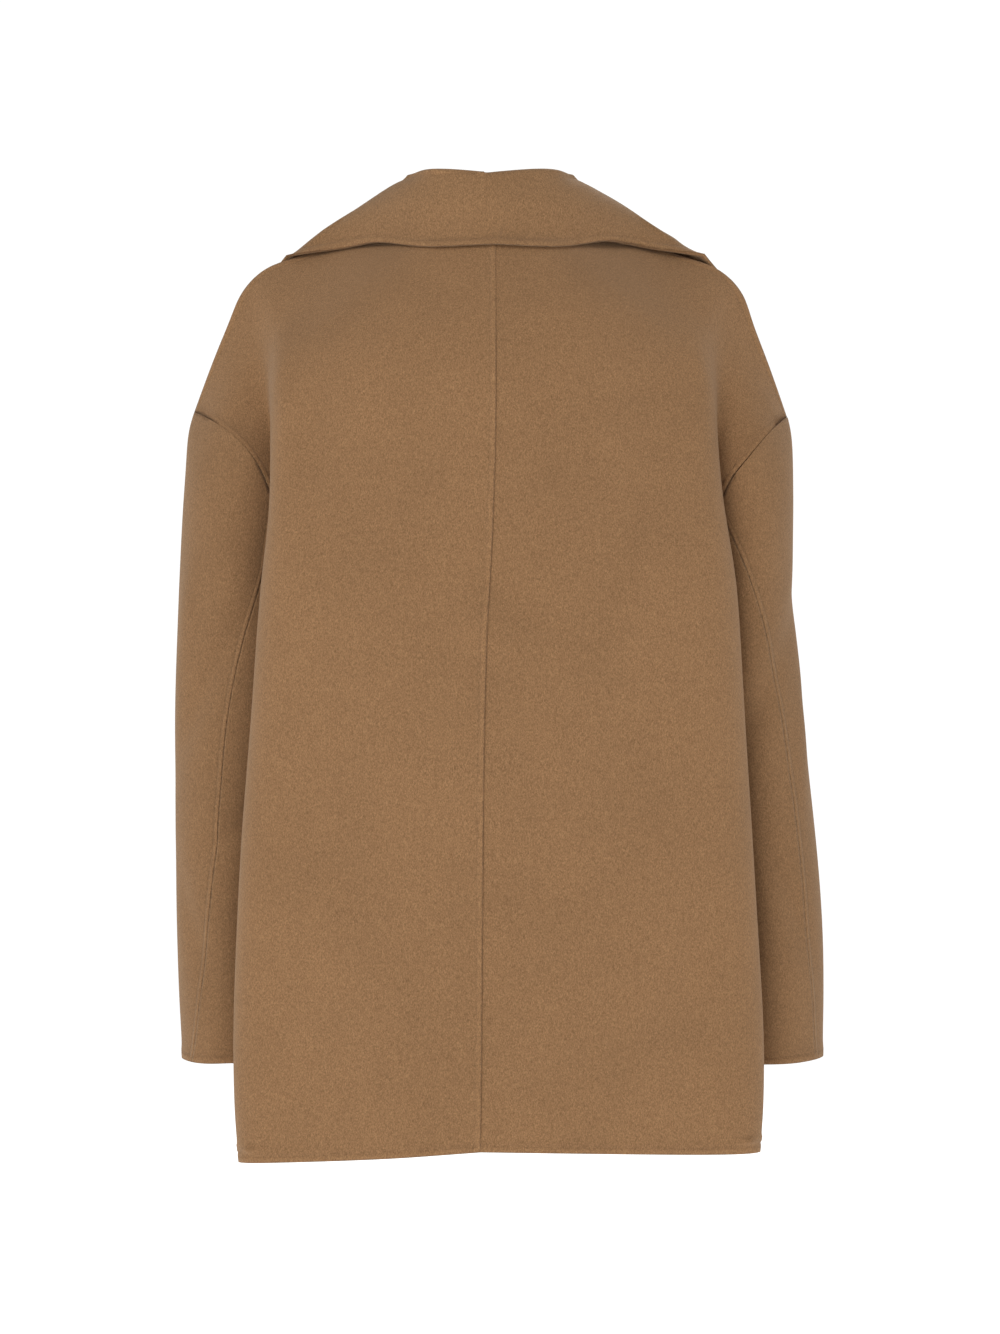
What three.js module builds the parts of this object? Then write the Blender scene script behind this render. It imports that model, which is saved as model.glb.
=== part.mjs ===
import * as THREE from 'three';

// Pea coat in double-face wool, filled out with no wearer. Millimetres, +Z up.
// The back faces +Y, the wearer's left is +X and zero is the middle of the neck base.

const clothWall = 2.6;
const seamGap = 0.3;
const bandWidth = 8;       // turned and hand-felled edge
const bandStep = 3;        // how soon the cloth is plain again beside it
const bandRise = 0.9;
const seamBand = 5;        // felled centre-back seam
const seamStep = 2.5;
const wrapHalf = 85;       // each front edge past the centre front
const breakHeight = -330;  // where the lapels start to roll
const overFrontRoom = 5;   // the over front stands this far outside the under one
const overLapelRoom = 6;   // and this much more where the under lapel lies between them
const foldRoom = 3.4;      // between a front and the lapel lying on it
const frontFall = 40;      // how far the front rounds back at its corner
const cornerHalf = 150;
const cornerRound = 2.4;
const yokeHeight = 200;    // the front is flat below this far under the shoulder
const yokeRound = 0.75;
const neckCorner = 58;     // where the lapel roll meets the neck seam
const neckCornerHeight = -20;
const rollRadius = 3.5;    // inside the collar fold
const buttonRadius = 14;
const buttonThick = 4.4;
const shankRadius = 4;
const shankHeight = 1.6;
const buttonGap = 0.4;
const rimWidth = 4;
const dishDepth = 1.6;
const buttonSides = 22;
const buttonColumn = 60;
const buttonHeights = [-350, -462, -574];
const coatDepth = 400;
const bladeGap = 79;       // from the centre back to the blade line
const hemStep = 28;        // between the two lowest rings
const waistRows = 23;

// Where the over layer stands clear, by height and across the coat.
const clearZone = { lapelStart: -425, lapelFull: -345, topFull: -150, topEnd: -50, edge: -150, full: -94 };

// The hem drops toward the sides and waves a little on its way round.
const hemSag = { side: 8, half: 200, tilt: 0.02, wave: 1.6, waveAcross: 38, waveDeep: 60 };

// How a level ring runs from its inner edge to the side seam, back and front.
const backRun = { blade: 0.41, bladeDrop: 1.5, outer: 0.8, outerDrop: 19, crease: 0.36, creaseDrop: 24,
  swell: 20 };
const frontRun = { chest: 24, outer: 98, corner: 148, rightLean: 8, creaseFrom: 153, crease: 0.6,
  creaseDepth: 46, swell: 6 };
const foldRun = { inside: 0.62, insideOut: 0.25, insideBack: 0.5, under: 0.42, underOut: 0.28,
  underBack: 0.3 };

const point = (x, y, z) => new THREE.Vector3(x, y, z);
const mix = THREE.MathUtils.lerp;
const smooth = THREE.MathUtils.smoothstep;

// Reads the lines of a table into records with named columns.
function table(names, ...lines) {
  return lines.map(line => Object.fromEntries(names.map((name, k) => [name, line[k]])));
}

// Level rings of the body from the hem up to the underarm. The back hangs wider than the
// sides: it stands out as a soft fold behind each arm and turns in to the side seam.
const rings = table(
  ['height', 'seam', 'back', 'foldLeft', 'foldRight', 'fold', 'sideLeft', 'sideRight', 'dip'],
  [-740, 7.0, 121.0, 199.5, 215.0, 72, 144.0, 155.0, 1.0],
  [-712, 6.6, 123.0, 203.0, 218.0, 73, 143.0, 154.5, 0.7],
  [-650, 6.0, 126.5, 204.5, 218.5, 74, 143.0, 154.0, 0.2],
  [-570, 5.4, 129.0, 201.5, 213.5, 75, 143.0, 154.0, 0],
  [-490, 4.8, 131.0, 197.0, 208.5, 75, 143.5, 154.0, 0],
  [-410, 3.8, 132.0, 190.0, 203.0, 75, 145.0, 155.0, 0],
  [-330, 1.5, 131.0, 184.0, 198.0, 75, 151.0, 160.0, 0],
  [-290, -1.0, 129.5, 181.0, 194.5, 74, 158.0, 166.0, 0],
);

// Lines that run up over the back from the underarm level to the shoulder.
const backSeamLine = table(['x', 'y', 'z'],
  [-3.5, 127, -232], [-5, 121, -175], [-5, 110, -119], [-5, 93, -62], [-4, 66, -6]);
const bladeLine = table(['x', 'y', 'z'],
  [79, 122, -232], [79, 113, -174], [78, 98, -116], [77, 70, -56], [75, 0, -5]);
const outerLine = table(['x', 'y', 'z'],
  [148, 106, -238], [144, 96, -184], [140, 79, -132], [136, 50, -80], [130, -2, -27]);
const foldLine = table(['x', 'y', 'z', 'rightShift', 'swell'],
  [177, 75, -243, 11, 17], [173, 72, -194, 8, 14], [169, 64, -148, 5, 9],
  [170, 41, -98, 2, 2], [177, -3, -44, 1, 0]);
const creaseLine = table(['x', 'y', 'z'],
  [163, 44, -250], [167, 42, -200], [174, 36, -157], [184, 22, -113], [207, -4, -83]);

// Armhole seam from the underarm to the outer end of the dropped shoulder.
const armhole = table(['x', 'back', 'front', 'z', 'rightX', 'rightZ'],
  [165, 33, 32, -256, 173, -260], [179, 51, 50, -212, 189, -218], [194, 55, 49, -189, 203, -200],
  [216, 40, 36, -171, 221, -178], [237, -5, 5, -160, 238, -164]);

// Lines that run up over each front. Depth comes from frontDepth.
const chestLine = table(['x', 'z'], [38, -234], [49, -178], [60, -121], [69, -62]);
const outerFrontLine = table(['x', 'z'], [105, -239], [111, -186], [118, -133], [125, -79]);
const cornerLine = table(['x', 'z'], [153, -245], [159, -196], [165, -148], [171, -98]);
const armFrontLine = table(['x', 'y', 'z'],
  [160, -42, -252], [170, -46, -205], [182, -42, -163], [194, -26, -122]);

const chestProfile = table(['height', 'depth'],
  [-760, 115], [-650, 121], [-520, 127], [-400, 130], [-290, 128], [-180, 118], [-90, 104],
  [0, 92], [60, 90]);
const shoulderProfile = table(['x', 'height'],
  [0, 26], [40, 14], [75, -5], [100, -16], [130, -27], [156, -36], [177, -44], [190, -53],
  [199, -66], [207, -83], [218, -110], [237, -160], [250, -200]);

// Sleeve rings from below the armhole to the cuff, each tipped from its outer to its inner side.
// The turn is where the back seam lies, in degrees from the outer side toward the back.
const leftSleeve = table(['outer', 'outerZ', 'inner', 'innerZ', 'deep', 'middle', 'turn'],
  [243.5, -207, 163, -307, 54, 1, 128],
  [247.5, -262, 159.5, -333, 53, 0, 115],
  [250, -320, 155.5, -372, 51.5, -1, 98],
  [252, -390, 152, -422, 50, -2, 84],
  [252.5, -450, 151, -472, 49, -3, 78],
  [252, -520, 150, -534, 48, -4, 70],
  [251, -580, 150, -590, 47.5, -5, 61],
  [249, -635, 150, -643, 47, -6, 50],
  [246.5, -672, 151, -681, 46.5, -7, 38]);
const rightSleeve = table(['outer', 'outerZ', 'inner', 'innerZ', 'deep', 'middle', 'turn'],
  [242.5, -207, 171, -307, 54, 1, 108],
  [242.5, -262, 169, -333, 53, 0, 90],
  [243.5, -320, 166, -372, 51.5, -1, 70],
  [248.5, -390, 164, -422, 50.5, -2, 56],
  [255.5, -450, 164, -472, 49.5, -3, 52],
  [263, -520, 166, -534, 48.5, -4, 48],
  [267, -580, 168.5, -590, 48, -5, 44],
  [267.5, -635, 169.5, -643, 47.5, -6, 38],
  [266.5, -673, 170, -681, 47, -7, 33]);
const frontSeamTurn = -110;

// The collar from the centre back to the corner of the neck: where it rolls and where it ends.
const collarStations = table(
  ['rollX', 'rollY', 'rollZ', 'edgeX', 'edgeY', 'edgeZ', 'swell'],
  [-4, 75, 24, -4, 86, -36, 3],
  [43, 61, 30, 62, 65, -34, 5],
  [64, 30, 30, 112, 19, -29, 8],
  [69, -4, 26, 160, -1, -36, 8],
  [66, -26, 8, 179, -28, -54, 5],
);
const rightEdgeShift = 8;
const collarPoint = table(['x', 'z'], [166, -102])[0];
const notch = table(['x', 'z'], [118, -88])[0];
const lapelPoint = table(['x', 'z'], [136, -130])[0];
const lapelBelly = 9;
const rollEase = 8;        // how fast the lapel roll opens above the break point
const shoulderStation = 3;
const cornerPull = 2.2;    // how late the collar turns to its front edge

// Reads one column of a table as a smooth curve over another.
function read(rows, over, name, place) {
  let k = 0;
  while (k < rows.length - 2 && place > rows[k + 1][over]) k += 1;
  const slope = i => {
    const a = rows[Math.max(i - 1, 0)];
    const b = rows[Math.min(i + 1, rows.length - 1)];
    return (b[name] - a[name]) / (b[over] - a[over]);
  };
  const span = rows[k + 1][over] - rows[k][over];
  const t = THREE.MathUtils.clamp((place - rows[k][over]) / span, 0, 1);
  const start = (2 * t - 3) * t * t + 1;
  const end = (3 - 2 * t) * t * t;
  return start * rows[k][name] + end * rows[k + 1][name]
    + ((t - 2) * t + 1) * t * span * slope(k) + (t - 1) * t * t * span * slope(k + 1);
}

// How far the front stands forward at a place, zero along the shoulder.
function frontDepth(x, z) {
  const across = Math.abs(x);
  const below = read(shoulderProfile, 'x', 'height', across) - z;
  const rise = THREE.MathUtils.clamp(below / yokeHeight, 0, 1);
  const round = frontFall * (across / cornerHalf) ** cornerRound;
  return (read(chestProfile, 'height', 'depth', z) - round) * (1 - (1 - rise) ** 2) ** yokeRound;
}

// The wearer's right front lies over the left one and over the left lapel.
function layer(side, x, z) {
  if (side > 0) return 0;
  const overFront = 1 - smooth(z, clearZone.topFull, clearZone.topEnd);
  const overLapel = smooth(z, clearZone.lapelStart, clearZone.lapelFull) * overFront;
  return (overFrontRoom * overFront + overLapelRoom * overLapel)
    * smooth(x, clearZone.edge, clearZone.full);
}

const onFront = (side, x, z, lift = 0) =>
  point(x, -(frontDepth(x, z) + layer(side, x, z) + lift), z);

const curveThrough = points => new THREE.CatmullRomCurve3(points, false, 'centripetal');

function onCurve(points, stop) {
  return curveThrough(points).getPoint(stop / (points.length - 1));
}

const hemDip = (x, y) => -hemSag.side * (x / hemSag.half) ** 2 - hemSag.tilt * x
  + hemSag.wave * Math.sin(x / hemSag.waveAcross + y / hemSag.waveDeep);

// Widens a row to eight keys by rounding the fold on both sides of its tip.
function roundFold(side, keys, swell, forward) {
  const [edge, blade, outer, tip, crease, seam] = keys;
  const inside = outer.clone().lerp(tip, foldRun.inside)
    .add(point(side * foldRun.insideOut * swell, foldRun.insideBack * swell * forward, 0));
  const under = tip.clone().lerp(crease, foldRun.under)
    .add(point(side * foldRun.underOut * swell, -foldRun.underBack * swell * forward, 0));
  return [edge, blade, outer, inside, tip, under, crease, seam];
}

function ringRow(side, ring, isBack) {
  const tipX = side > 0 ? ring.foldLeft : ring.foldRight;
  const sideX = side > 0 ? ring.sideLeft : ring.sideRight;
  const z = ring.height;
  const lean = side > 0 ? 0 : frontRun.rightLean;
  const seam = point(side * sideX, 2, z);
  let keys;
  if (isBack) {
    keys = roundFold(side, [
      point(ring.seam, ring.back, z),
      point(side * tipX * backRun.blade, ring.back - backRun.bladeDrop, z),
      point(side * tipX * backRun.outer, ring.back - backRun.outerDrop, z),
      point(side * tipX, ring.fold, z),
      point(side * mix(sideX, tipX, backRun.crease), ring.fold - backRun.creaseDrop, z),
      seam,
    ], backRun.swell, 1);
  } else {
    const edgeX = side * (z < breakHeight ? -wrapHalf : rollAt(z));
    keys = roundFold(side, [
      onFront(side, edgeX, z),
      onFront(side, side * frontRun.chest, z),
      onFront(side, side * frontRun.outer, z),
      point(side * (frontRun.corner + lean), -frontDepth(frontRun.corner, z), z),
      point(side * mix(sideX, frontRun.creaseFrom + lean, frontRun.crease), -frontRun.creaseDepth, z),
      seam,
    ], frontRun.swell, -1);
  }
  for (const key of keys) key.z += ring.dip * hemDip(key.x, key.y);
  return keys;
}

// The lapel roll runs straight from the break point to the neck corner.
const rollAt = z => mix(-wrapHalf, neckCorner, (z - breakHeight) / (neckCornerHeight - breakHeight));

function yokeRow(side, level, isBack) {
  const right = side < 0;
  const arm = armhole[level];
  const z = right ? arm.rightZ : arm.z;
  const seam = point(side * (right ? arm.rightX : arm.x), isBack ? arm.back : -arm.front, z);
  const last = level === armhole.length - 1;
  const fold = foldLine[level];
  const crease = creaseLine[level];
  const foldX = fold.x + (right ? fold.rightShift : 0);
  const creaseX = crease.x + (right ? fold.rightShift : 0);
  if (isBack || last) {
    const first = isBack ? Object.values(backSeamLine[level]) : Object.values(neckEnd(side));
    const ridge = [point(side * outerLine[level].x, outerLine[level].y, outerLine[level].z),
      point(side * foldX, fold.y, fold.z), point(side * creaseX, crease.y, crease.z)];
    return roundFold(side, [point(...first),
      point(side * bladeLine[level].x, bladeLine[level].y, bladeLine[level].z), ...ridge, seam],
    fold.swell, 1);
  }
  const rollZ = mix(rings.at(-1).height, neckCornerHeight, (level + 1) / armhole.length);
  const front = armFrontLine[level];
  const shift = right ? fold.rightShift : 0;
  return roundFold(side, [
    onFront(side, side * rollAt(rollZ), rollZ),
    onFront(side, side * chestLine[level].x, chestLine[level].z),
    onFront(side, side * outerFrontLine[level].x, outerFrontLine[level].z),
    point(side * (cornerLine[level].x + shift), -frontDepth(cornerLine[level].x, cornerLine[level].z),
      cornerLine[level].z),
    point(side * (front.x + shift), front.y, front.z),
    seam,
  ], 4, -1);
}

const neckEnd = side => onFront(1, neckCorner, neckCornerHeight).multiply(point(side, 1, 1));

// Neck seam on one side, from the centre back or from the corner at the front, to the shoulder.
function neckCurve(side, isBack) {
  const shoulder = point(side * bladeLine.at(-1).x, bladeLine.at(-1).y, bladeLine.at(-1).z);
  const centre = backSeamLine.at(-1);
  if (isBack) return [point(centre.x, centre.y, centre.z), point(side * 42, 54, -5), shoulder];
  return [neckEnd(side), point(side * 71, -22, -11), shoulder];
}

// Columns as places between the eight keys, rows as places between the rings.
const bandStop = seamBand / bladeGap;
const plainStop = (seamBand + seamStep) / bladeGap;
const bodyColumns = [0, bandStop, plainStop, 0.34, 0.67, 1, 1.5, 2, 3, 4, 5, 6, 6.5, 7];
const neckColumns = bodyColumns.filter(stop => stop <= 1);
const hemRows = [0, bandWidth / hemStep, (bandWidth + bandStep) / hemStep];
const bodyRows = [...hemRows, ...Array.from({ length: waistRows }, (_, k) => 1 + k / 2)];
const breakRow = bodyRows.indexOf(6);
const underarmRow = bodyRows.indexOf(rings.length - 1);

function bodyGrid(side, isBack) {
  const keyRows = rings.map(ring => ringRow(side, ring, isBack));
  for (let level = 0; level < armhole.length; level += 1) keyRows.push(yokeRow(side, level, isBack));
  const placed = keyRows.map(keys => bodyColumns.map(stop => onCurve(keys, stop)));
  if (!isBack) placed.slice(0, -1).forEach(row => layOnFront(side, row));
  const top = placed.at(-1);
  const ridge = keyRows.at(-1).slice(1);
  const neck = neckCurve(side, isBack);
  bodyColumns.forEach((stop, c) => {
    top[c] = stop <= 1 ? onCurve(neck, stop * 2) : onCurve(ridge, stop - 1);
  });
  const grid = bodyRows.map(stop =>
    bodyColumns.map((_, c) => onCurve(placed.map(row => row[c]), stop)));
  if (!isBack) grid.slice(0, -2).forEach(row => layOnFront(side, row));
  // The side seam and the armhole meet at a corner under the arm.
  const edge = placed.map(row => row.at(-1));
  const corner = rings.length - 1;
  bodyRows.forEach((stop, r) => {
    grid[r][bodyColumns.length - 1] = stop <= corner ? onCurve(edge.slice(0, corner + 1), stop)
      : onCurve(edge.slice(corner), stop - corner);
  });
  return grid;
}

// Sets the flat part of a front row to the depth that both layers share.
function layOnFront(side, row) {
  row.forEach((place, c) => {
    if (bodyColumns[c] <= 2) place.y = onFront(side, place.x, place.z).y;
  });
}

// The lapel: every row starts on the roll, bends over and lies on its own front.
const bendSteps = 3;
const lapelColumns = [0.2, 0.42, 0.64, 0.82, 1];

function bendPoints(start, away, radius) {
  const out = [];
  for (let k = 1; k <= bendSteps; k += 1) {
    const angle = Math.PI * k / bendSteps;
    out.push(start.clone().addScaledVector(away, radius * Math.sin(angle))
      .add(point(0, -radius * (1 - Math.cos(angle)), 0)));
  }
  return out;
}

function lapelRow(side, roll, share) {
  const along = point(side * (neckCorner + wrapHalf), 0, neckCornerHeight - breakHeight).normalize();
  const away = point(-side * along.z, 0, side * along.x);
  const radius = foldRoom / 2 * Math.min(1, share * rollEase);
  const bend = bendPoints(roll, away, radius);
  const breakEnd = point(-side * wrapHalf, 0, breakHeight);
  const tip = point(side * lapelPoint.x, 0, lapelPoint.z);
  const belly = lapelBelly * Math.sin(Math.PI * share);
  const outer = breakEnd.clone().lerp(tip, share).addScaledVector(away, -belly);
  const corner = point(side * neckCorner, 0, neckCornerHeight);
  const gorge = [corner, point(side * notch.x, 0, notch.z), tip];
  const row = lapelColumns.map(stop => {
    const straight = corner.clone().lerp(tip, stop);
    const cut = stop <= lapelColumns[3]
      ? gorge[0].clone().lerp(gorge[1], stop / lapelColumns[3])
      : gorge[1].clone().lerp(gorge[2], (stop - lapelColumns[3]) / (1 - lapelColumns[3]));
    const place = point(roll.x, 0, roll.z).lerp(outer, stop)
      .addScaledVector(cut.sub(straight), share ** 2);
    return onFront(side, place.x, place.z, 2 * radius);
  });
  return [roll, ...bend, ...row];
}

function lapelGrid(side, front) {
  const roll = front.slice(breakRow).map(row => row[0]);
  return roll.map((start, k) => lapelRow(side, start, k / (roll.length - 1)));
}

// One collar column: up the stand, over the roll and down the fall.
const standStops = [0, 0.5];
const fallStops = [0.12, 0.3, 0.5, 0.7, 0.86, 1];

function collarColumn(base, station, side) {
  const roll = point(side * station.rollX, station.rollY, station.rollZ - clothWall);
  const shift = side < 0 ? rightEdgeShift * smooth(Math.abs(station.edgeX), 60, 150) : 0;
  const edge = point(side * (station.edgeX + shift), station.edgeY, station.edgeZ);
  const away = point(edge.x - roll.x, edge.y - roll.y, 0).normalize();
  const centre = roll.clone().add(point(0, 0, -rollRadius));
  const column = standStops.map(stop =>
    base.clone().lerp(centre.clone().addScaledVector(away, -rollRadius), stop));
  for (let k = 0; k <= bendSteps; k += 1) {
    const angle = Math.PI * k / bendSteps;
    column.push(centre.clone().addScaledVector(away, -rollRadius * Math.cos(angle))
      .add(point(0, 0, rollRadius * Math.sin(angle))));
  }
  const start = column.at(-1);
  const outward = away.clone().multiplyScalar(0.6).add(point(0, 0, 0.8));
  for (const stop of fallStops) {
    column.push(start.clone().lerp(edge, stop)
      .addScaledVector(outward, station.swell * Math.sin(Math.PI * stop)));
  }
  return column;
}

// The last column follows the roll, the gorge seam and the short front edge of the collar.
function collarEnd(side, lapelTop) {
  const seamPart = lapelTop.slice(0, bendSteps + lapelColumns.length);
  const start = seamPart[0];
  const end = side > 0 ? collarPoint.x : collarPoint.x + rightEdgeShift;
  const last = onFront(side, side * end, collarPoint.z, foldRoom);
  const middle = seamPart.at(-1).clone().lerp(last, 0.5);
  return [start, start, ...seamPart, onFront(side, middle.x, middle.z, foldRoom), last];
}

function mixStation(stations, stop) {
  const names = Object.keys(stations[0]);
  return Object.fromEntries(names.map(name => {
    const values = stations.map(station => point(station[name], 0, 0));
    return [name, new THREE.CatmullRomCurve3(values, false, 'catmullrom').getPoint(
      stop / (stations.length - 1)).x];
  }));
}

function collarSide(side, backNeck, frontNeck, lapelTop) {
  const columns = [];
  backNeck.forEach((base, k) => {
    const stop = neckColumns[k] * shoulderStation;
    columns.push(collarColumn(base, mixStation(collarStations, stop), side));
  });
  const end = collarEnd(side, lapelTop);
  const fromShoulder = [...frontNeck].reverse();
  const stops = [...neckColumns].reverse();
  for (let k = 1; k < fromShoulder.length - 1; k += 1) {
    const share = 1 - stops[k];
    const station = mixStation(collarStations, shoulderStation + share);
    const plain = collarColumn(fromShoulder[k], station, side);
    const toEnd = share ** cornerPull;
    columns.push(plain.map((place, r) => place.clone().lerp(end[r], toEnd * smooth(r, 0, 5))));
  }
  columns.push(end);
  for (const column of columns.slice(backNeck.length)) {
    for (const place of column.slice(standStops.length + bendSteps)) {
      const rest = -(frontDepth(place.x, place.z) + layer(side, place.x, place.z) + foldRoom);
      if (place.y > rest && place.y < 0) place.y = rest;
    }
  }
  return columns;
}

function sleeveRing(side, ring, angle) {
  const turn = THREE.MathUtils.degToRad(angle);
  const outer = point(side * ring.outer, ring.middle, ring.outerZ);
  const inner = point(side * ring.inner, ring.middle, ring.innerZ);
  const centre = outer.clone().lerp(inner, 0.5);
  return centre.addScaledVector(outer.sub(inner), 0.5 * Math.cos(turn))
    .add(point(0, ring.deep * Math.sin(turn), 0));
}

const seamLevel = 3;       // rows above the underarm where the sleeve seams start
const cuffShare = 40;      // length of the last stretch of the sleeve
const lastRing = leftSleeve.length;
const sleeveRows = [...Array.from({ length: 2 * lastRing - 1 }, (_, k) => k / 2),
  lastRing - (bandWidth + bandStep) / cuffShare, lastRing - bandWidth / cuffShare, lastRing];

// Loop of points round the armhole, then rings; columns keep their share between the seams.
function sleeveGrid(side, loop, rings, from, to) {
  const keys = [loop];
  for (const ring of rings) {
    keys.push(loop.map((_, c) =>
      sleeveRing(side, ring, mix(from(ring), to(ring), c / (loop.length - 1)))));
  }
  return sleeveRows.map(stop => loop.map((_, c) => onCurve(keys.map(row => row[c]), stop)));
}

function doubled(points) {
  return points.flatMap((place, k) => (k === 0 ? [place]
    : [points[k - 1].clone().lerp(place, 0.5), place]));
}

function sleevePair(side, back, front) {
  const rings = side > 0 ? leftSleeve : rightSleeve;
  const backArm = back.slice(underarmRow).map(row => row.at(-1));
  const frontArm = front.slice(underarmRow).map(row => row.at(-1));
  const topLoop = [...frontArm.slice(seamLevel), ...backArm.slice(seamLevel, -1).reverse()];
  const underLoop = [...backArm.slice(0, seamLevel + 1).reverse(),
    ...frontArm.slice(1, seamLevel + 1)];
  return {
    top: sleeveGrid(side, topLoop, rings, () => frontSeamTurn, ring => ring.turn),
    under: sleeveGrid(side, doubled(underLoop), rings, ring => ring.turn, () => 360 + frontSeamTurn),
  };
}

// A sheet is the list of its grids. Each grid knows which of its four sides are seams and
// which way its cloth lies, so that both faces keep one wall everywhere.
const key = place => [place.x, place.y, place.z].map(v => Math.round(v * 500)).join();

function quads(grid, turned) {
  const faces = [];
  for (let r = 0; r + 1 < grid.length; r += 1) {
    for (let c = 0; c + 1 < grid[r].length; c += 1) {
      const a = [r, c];
      const b = [r, c + 1];
      const d = [r + 1, c + 1];
      const e = [r + 1, c];
      faces.push(...(turned ? [[a, d, b], [a, e, d]] : [[a, b, d], [a, d, e]]));
    }
  }
  return faces;
}

const sharedNormals = new Map();

function addNormals({ grid, turned }) {
  for (const face of quads(grid, turned)) {
    const [a, b, d] = face.map(([r, c]) => grid[r][c]);
    const normal = b.clone().sub(a).cross(d.clone().sub(a));
    if (normal.length() < 1e-6) continue;
    for (const place of [a, b, d]) {
      const name = key(place);
      if (!sharedNormals.has(name)) sharedNormals.set(name, point(0, 0, 0));
      sharedNormals.get(name).add(normal);
    }
  }
}

// Steps each seam edge back by half the gap and sets the two faces of the cloth.
function placeVertex({ grid, seams, rise, middles }, r, c) {
  const place = grid[r][c];
  const normal = sharedNormals.get(key(place)).clone().normalize();
  if (middles && r === 0 && c % 2 === 1) {
    normal.copy(sharedNormals.get(key(grid[r][c - 1]))).normalize()
      .add(sharedNormals.get(key(grid[r][c + 1])).clone().normalize()).normalize();
  }
  const moved = place.clone();
  const last = [grid.length - 1, grid[0].length - 1];
  const step = (other, share) => {
    if (!share) return;
    const inward = other.clone().sub(place);
    inward.addScaledVector(normal, -inward.dot(normal));
    if (inward.length() > 1e-6) moved.addScaledVector(inward.normalize(), share * seamGap);
  };
  if (r === 0) step(grid[1][c], seams.first);
  if (r === last[0]) step(grid[r - 1][c], seams.last);
  if (c === 0) step(grid[r][1], seams.left);
  if (c === last[1]) step(grid[r][c - 1], seams.right);
  const [seen, hidden] = rise ? rise(r, c) : [0, 0];
  return { near: moved.clone().addScaledVector(normal, seen),
    far: moved.clone().addScaledVector(normal, -clothWall - hidden) };
}

// Closes a sheet into a solid: the near face, the far face and the rim between them. The rim
// is split the same way from both sides of a seam, so that neighbours stay clear.
function clothSolid(grids) {
  const index = new Map();
  const near = [];
  const far = [];
  const order = [];
  const triangles = [];
  for (const part of grids) {
    const number = part.grid.map(row => row.map(place => index.get(key(place))));
    part.grid.forEach((row, r) => row.forEach((place, c) => {
      if (number[r][c] === undefined && index.has(key(place))) number[r][c] = index.get(key(place));
      if (number[r][c] !== undefined) return;
      const made = placeVertex(part, r, c);
      number[r][c] = near.length;
      index.set(key(place), near.length);
      near.push(made.near);
      far.push(made.far);
      order.push(place.x + 2 * place.y + 3 * place.z);
    }));
    for (const face of quads(part.grid, part.turned)) {
      const ids = face.map(([r, c]) => number[r][c]);
      if (new Set(ids).size === 3) triangles.push(ids);
    }
  }
  const directed = new Set(triangles.flatMap(([a, b, c]) => [`${a},${b}`, `${b},${c}`, `${c},${a}`]));
  const vertices = [...near, ...far];
  const faces = triangles.flatMap(([a, b, c]) => [[a, b, c],
    [a + near.length, c + near.length, b + near.length]]);
  for (const [a, b, c] of triangles) {
    for (const [from, to] of [[a, b], [b, c], [c, a]]) {
      if (directed.has(`${to},${from}`)) continue;
      const [farFrom, farTo] = [from + near.length, to + near.length];
      if (order[from] < order[to]) faces.push([from, farFrom, farTo], [from, farTo, to]);
      else faces.push([from, farFrom, to], [farFrom, farTo, to]);
    }
  }
  const geometry = new THREE.BufferGeometry();
  geometry.setAttribute('position',
    new THREE.Float32BufferAttribute(vertices.flatMap(v => v.toArray()), 3));
  geometry.setIndex(faces.flat());
  geometry.computeVertexNormals();
  return geometry;
}

const wool = { roughness: 0.92, metalness: 0 };
const shades = {
  back: 0x8f6b4a, front: 0x8f6b4a, sleeve: 0x8d6b4b, collar: 0x906c4b, button: 0x5b4330,
};

function mesh(name, geometry, color, finish) {
  const out = new THREE.Mesh(geometry, new THREE.MeshStandardMaterial({ color, ...finish }));
  out.name = name;
  return out;
}

const bandAtEnd = (count, size) => count - 1 - size;
const coat = new THREE.Group();
coat.name = 'pea_coat';

const sides = { left: 1, right: -1 };
const sheets = {};
const necks = {};
for (const [name, side] of Object.entries(sides)) {
  const left = side > 0;
  const back = bodyGrid(side, true);
  const front = bodyGrid(side, false);
  const lapel = lapelGrid(side, front);
  const { top, under } = sleevePair(side, back, front);
  const hem = r => (r < 2 ? bandRise : 0);
  sheets[`back_${name}`] = [{ grid: back, turned: left,
    seams: { last: 0.5, left: 0.5, right: 0.5 },
    rise: (r, c) => [Math.max(hem(r), left && c < 2 ? bandRise : 0), 0] }];
  sheets[`front_${name}`] = [
    { grid: front, turned: !left, seams: { last: 0.5, right: 0.5 }, rise: r => [hem(r), 0] },
    { grid: lapel, turned: left, seams: { last: 0.5 } },
  ];
  sheets[`sleeve_${name}_top`] = [{ grid: top, turned: left,
    seams: { first: 0.5, left: 0.5, right: 0.5 },
    rise: r => [r >= bandAtEnd(top.length, 1) ? bandRise : 0, 0] }];
  sheets[`sleeve_${name}_under`] = [{ grid: under, turned: left, middles: true,
    seams: { first: 1.5, left: 0.5, right: 0.5 },
    rise: r => [r >= bandAtEnd(under.length, 1) ? bandRise : 0, 0] }];
  const neckCount = neckColumns.length;
  necks[name] = collarSide(side, back.at(-1).slice(0, neckCount), front.at(-1).slice(0, neckCount),
    lapel.at(-1));
}

const collarColumns = [...[...necks.right].reverse(), ...necks.left.slice(1)];
sheets.collar = [{ grid: collarColumns, turned: false,
  seams: { first: 0.5, last: 0.5, left: 1 },
  rise: (r, c) => [0, c >= collarColumns[0].length - 1 ? bandRise : 0] }];

for (const grids of Object.values(sheets)) grids.forEach(addNormals);
for (const [name, grids] of Object.entries(sheets)) {
  coat.add(mesh(name, clothSolid(grids), shades[name.split('_')[0]], wool));
}

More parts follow.
